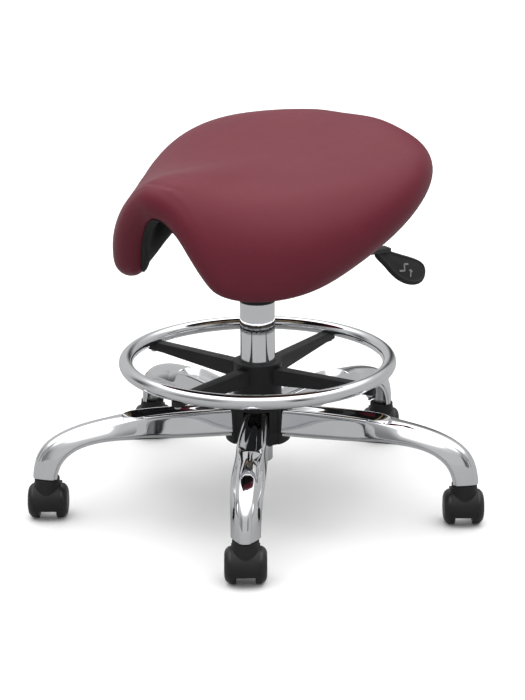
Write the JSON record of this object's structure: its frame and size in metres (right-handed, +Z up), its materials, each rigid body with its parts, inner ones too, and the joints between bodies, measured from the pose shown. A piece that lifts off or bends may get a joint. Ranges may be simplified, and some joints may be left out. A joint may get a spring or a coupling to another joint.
{
  "type": "saddle stool",
  "caption": "Height-adjustable saddle-seat dental stool on a chromed star base with twin-wheel casters, a sliding foot ring, a gas lift and a release lever.",
  "frame": {"origin": "on the gas-lift column's axis, at floor level under the casters", "axes": "+Z up along the column; the sitter faces -Y; +X is the sitter's left"},
  "size_m": [0.656, 0.6338, 0.5426],
  "materials": {
    "vinyl": "satin",
    "lining_cloth": "matte",
    "foam_core": "matte",
    "plywood": "matte",
    "chrome": "polished",
    "bright_steel": "satin",
    "black_steel": "satin",
    "black_nylon": "satin",
    "wheel_nylon": "satin",
    "bumper_rubber": "matte"
  },
  "bodies": {
    "base": {"hub_upper": "black_nylon", "hub_lower": "black_nylon", "hub_sleeve": "bright_steel", "hub_screws": "bright_steel", "leg_1": "chrome", "leg_2": "chrome", "leg_3": "chrome", "leg_4": "chrome", "leg_5": "chrome", "stem_sockets": "bright_steel", "column_tube": "chrome", "column_bushing": "black_nylon"},
    "lift_rod": {"piston_rod": "bright_steel", "thrust_bearing": "bright_steel", "rod_bumper": "bumper_rubber", "rod_clip": "bright_steel"},
    "seat": {"gas_cylinder": "bright_steel", "taper_socket": "bright_steel", "mechanism_plate": "black_steel", "lever_pin": "bright_steel", "seat_board": "plywood", "seat_core": "foam_core", "seat_cushion": "vinyl", "seat_lining": "lining_cloth", "seat_bolts": "bright_steel", "tee_nuts": "bright_steel"},
    "lever": {"lever_bar": "black_steel", "lever_paddle": "black_nylon"},
    "valve": {"valve_button": "bright_steel"},
    "foot_ring": {"ring_tube": "chrome", "ring_spider": "black_nylon", "ring_collet": "black_nylon", "ring_screws": "bright_steel"},
    "caster_1": {"caster_hood_1": "black_nylon", "caster_stem_1": "bright_steel", "caster_axle_1": "bright_steel"},
    "wheel_1a": {"wheel_1a": "wheel_nylon"},
    "wheel_1b": {"wheel_1b": "wheel_nylon"},
    "caster_2": {"caster_hood_2": "black_nylon", "caster_stem_2": "bright_steel", "caster_axle_2": "bright_steel"},
    "wheel_2a": {"wheel_2a": "wheel_nylon"},
    "wheel_2b": {"wheel_2b": "wheel_nylon"},
    "caster_3": {"caster_hood_3": "black_nylon", "caster_stem_3": "bright_steel", "caster_axle_3": "bright_steel"},
    "wheel_3a": {"wheel_3a": "wheel_nylon"},
    "wheel_3b": {"wheel_3b": "wheel_nylon"},
    "caster_4": {"caster_hood_4": "black_nylon", "caster_stem_4": "bright_steel", "caster_axle_4": "bright_steel"},
    "wheel_4a": {"wheel_4a": "wheel_nylon"},
    "wheel_4b": {"wheel_4b": "wheel_nylon"},
    "caster_5": {"caster_hood_5": "black_nylon", "caster_stem_5": "bright_steel", "caster_axle_5": "bright_steel"},
    "wheel_5a": {"wheel_5a": "wheel_nylon"},
    "wheel_5b": {"wheel_5b": "wheel_nylon"}
  },
  "joints": [
    {"name": "seat_swivel", "type": "hinge", "parent": "base", "child": "lift_rod", "pos_m": [0, 0, 0.09], "axis": [0, 0, 1], "continuous": true},
    {"name": "seat_height", "type": "slide", "parent": "lift_rod", "child": "seat", "axis": [0, 0, 1], "range_m": [0, 0.13]},
    {"name": "lever_lift", "type": "hinge", "parent": "seat", "child": "lever", "pos_m": [0.0114, 0.03309, 0.3615], "axis": [0.9455, -0.3256, 0], "range_deg": [0, 4], "stiffness_Nm_per_rad": 3, "springref_deg": -14.32},
    {"name": "valve_press", "type": "slide", "parent": "seat", "child": "valve", "axis": [0, 0, -1], "range_m": [0, 0.0022]},
    {"name": "foot_ring_height", "type": "slide", "parent": "base", "child": "foot_ring", "axis": [0, 0, 1], "range_m": [0, 0.07]},
    {"name": "caster_swivel_1", "type": "hinge", "parent": "base", "child": "caster_1", "pos_m": [0.19085, -0.24428, 0.06], "axis": [0, 0, 1], "continuous": true},
    {"name": "wheel_spin_1a", "type": "hinge", "parent": "caster_1", "child": "wheel_1a", "pos_m": [0.18692, -0.23975, 0.025], "axis": [0.7547, 0.6561, 0], "continuous": true},
    {"name": "wheel_spin_1b", "type": "hinge", "parent": "caster_1", "child": "wheel_1b", "pos_m": [0.18692, -0.23975, 0.025], "axis": [0.7547, 0.6561, 0], "continuous": true},
    {"name": "caster_swivel_2", "type": "hinge", "parent": "base", "child": "caster_2", "pos_m": [0.2913, 0.10603, 0.06], "axis": [0, 0, 1], "continuous": true},
    {"name": "wheel_spin_2a", "type": "hinge", "parent": "caster_2", "child": "wheel_2a", "pos_m": [0.28737, 0.11056, 0.025], "axis": [0.7547, 0.6561, 0], "continuous": true},
    {"name": "wheel_spin_2b", "type": "hinge", "parent": "caster_2", "child": "wheel_2b", "pos_m": [0.28737, 0.11056, 0.025], "axis": [0.7547, 0.6561, 0], "continuous": true},
    {"name": "caster_swivel_3", "type": "hinge", "parent": "base", "child": "caster_3", "pos_m": [-0.01082, 0.30981, 0.06], "axis": [0, 0, 1], "continuous": true},
    {"name": "wheel_spin_3a", "type": "hinge", "parent": "caster_3", "child": "wheel_3a", "pos_m": [-0.01476, 0.31434, 0.025], "axis": [0.7547, 0.6561, 0], "continuous": true},
    {"name": "wheel_spin_3b", "type": "hinge", "parent": "caster_3", "child": "wheel_3b", "pos_m": [-0.01476, 0.31434, 0.025], "axis": [0.7547, 0.6561, 0], "continuous": true},
    {"name": "caster_swivel_4", "type": "hinge", "parent": "base", "child": "caster_4", "pos_m": [-0.29799, 0.08545, 0.06], "axis": [0, 0, 1], "continuous": true},
    {"name": "wheel_spin_4a", "type": "hinge", "parent": "caster_4", "child": "wheel_4a", "pos_m": [-0.30193, 0.08998, 0.025], "axis": [0.7547, 0.6561, 0], "continuous": true},
    {"name": "wheel_spin_4b", "type": "hinge", "parent": "caster_4", "child": "wheel_4b", "pos_m": [-0.30193, 0.08998, 0.025], "axis": [0.7547, 0.6561, 0], "continuous": true},
    {"name": "caster_swivel_5", "type": "hinge", "parent": "base", "child": "caster_5", "pos_m": [-0.17335, -0.257, 0.06], "axis": [0, 0, 1], "continuous": true},
    {"name": "wheel_spin_5a", "type": "hinge", "parent": "caster_5", "child": "wheel_5a", "pos_m": [-0.17729, -0.25247, 0.025], "axis": [0.7547, 0.6561, 0], "continuous": true},
    {"name": "wheel_spin_5b", "type": "hinge", "parent": "caster_5", "child": "wheel_5b", "pos_m": [-0.17729, -0.25247, 0.025], "axis": [0.7547, 0.6561, 0], "continuous": true}
  ],
  "couplings": [
    {"joint": "valve_press", "follows": "lever_lift", "m_per_rad": 0.03}
  ]
}
